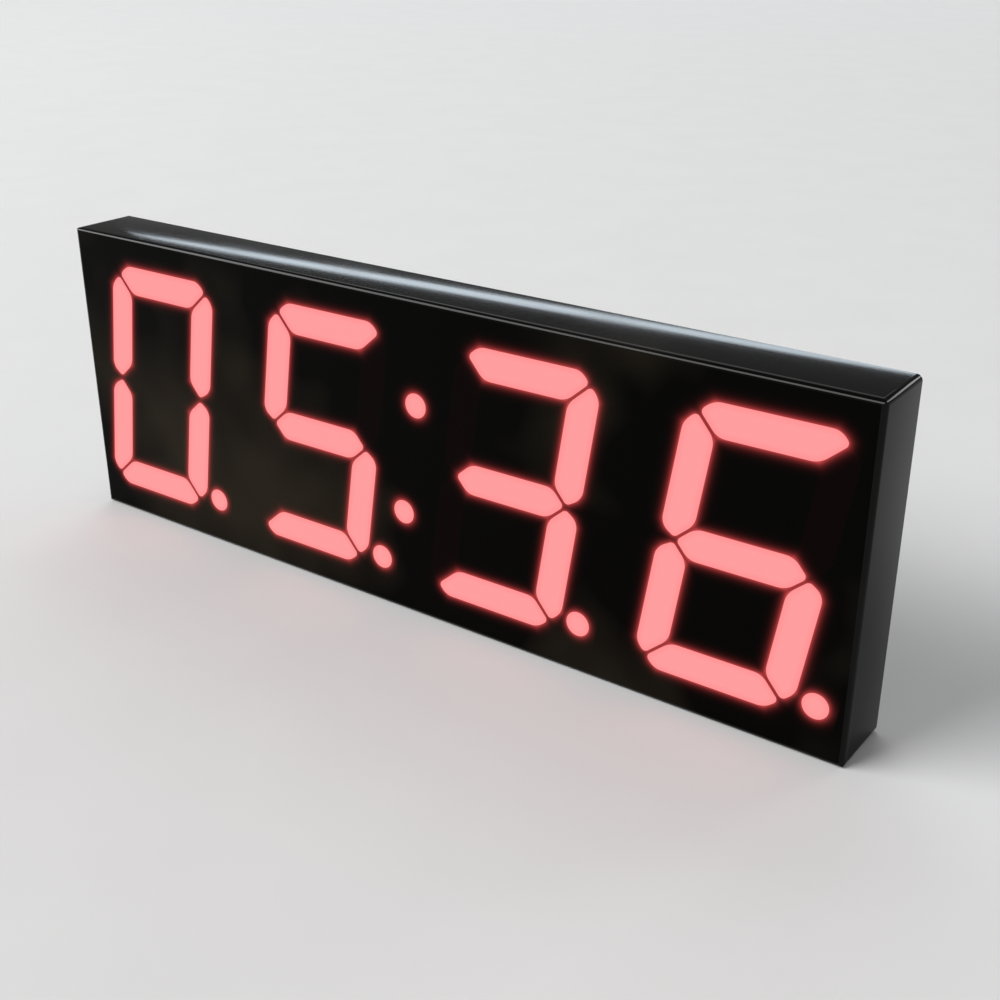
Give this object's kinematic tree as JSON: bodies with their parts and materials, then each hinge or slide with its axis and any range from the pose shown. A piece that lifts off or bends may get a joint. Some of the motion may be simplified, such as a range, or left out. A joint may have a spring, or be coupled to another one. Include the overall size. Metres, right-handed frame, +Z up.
{
  "type": "seven segment display",
  "caption": "Black clock display module with slanted red segment digits, decimal points and a colon flush in its flat face, and rows of solder pins at the back.",
  "frame": {"origin": "middle of the flat lower side on which the module stands, halfway through the housing's depth", "axes": "+X to the right as the digits are read, +Y to the back along the pins, +Z up"},
  "size_m": [0.161, 0.0174, 0.0569],
  "materials": {
    "housing": "smooth black moulding",
    "segment_lit": "red tinted diffusing resin, lit",
    "segment_unlit": "red tinted diffusing resin, dark",
    "board": "glass epoxy laminate with green solder mask",
    "led_chip": "clear lens on a pale base",
    "pin": "tinned round wire",
    "solder": "solidified tin solder"
  },
  "bodies": {
    "root": {"housing": "housing", "digit_1_segment_a": "segment_lit", "digit_1_segment_b": "segment_lit", "digit_1_segment_c": "segment_lit", "digit_1_segment_d": "segment_lit", "digit_1_segment_e": "segment_lit", "digit_1_segment_f": "segment_lit", "digit_1_segment_g": "segment_unlit", "digit_2_segment_a": "segment_lit", "digit_2_segment_b": "segment_unlit", "digit_2_segment_c": "segment_lit", "digit_2_segment_d": "segment_lit", "digit_2_segment_e": "segment_unlit", "digit_2_segment_f": "segment_lit", "digit_2_segment_g": "segment_lit", "digit_3_segment_a": "segment_lit", "digit_3_segment_b": "segment_lit", "digit_3_segment_c": "segment_lit", "digit_3_segment_d": "segment_lit", "digit_3_segment_e": "segment_unlit", "digit_3_segment_f": "segment_unlit", "digit_3_segment_g": "segment_lit", "digit_4_segment_a": "segment_lit", "digit_4_segment_b": "segment_unlit", "digit_4_segment_c": "segment_lit", "digit_4_segment_d": "segment_lit", "digit_4_segment_e": "segment_lit", "digit_4_segment_f": "segment_lit", "digit_4_segment_g": "segment_lit", "digit_1_decimal_point": "segment_lit", "digit_2_decimal_point": "segment_lit", "digit_3_decimal_point": "segment_lit", "digit_4_decimal_point": "segment_lit", "colon_upper_dot": "segment_lit", "colon_lower_dot": "segment_lit", "circuit_board": "board", "digit_1_led_chips": "led_chip", "digit_2_led_chips": "led_chip", "digit_3_led_chips": "led_chip", "digit_4_led_chips": "led_chip", "colon_led_chips": "led_chip", "pin_1": "pin", "pin_2": "pin", "pin_3": "pin", "pin_4": "pin", "pin_5": "pin", "pin_6": "pin", "pin_7": "pin", "pin_8": "pin", "pin_9": "pin", "pin_10": "pin", "pin_11": "pin", "pin_12": "pin", "pin_13": "pin", "pin_14": "pin", "solder_joints": "solder"}
  },
  "joints": []
}
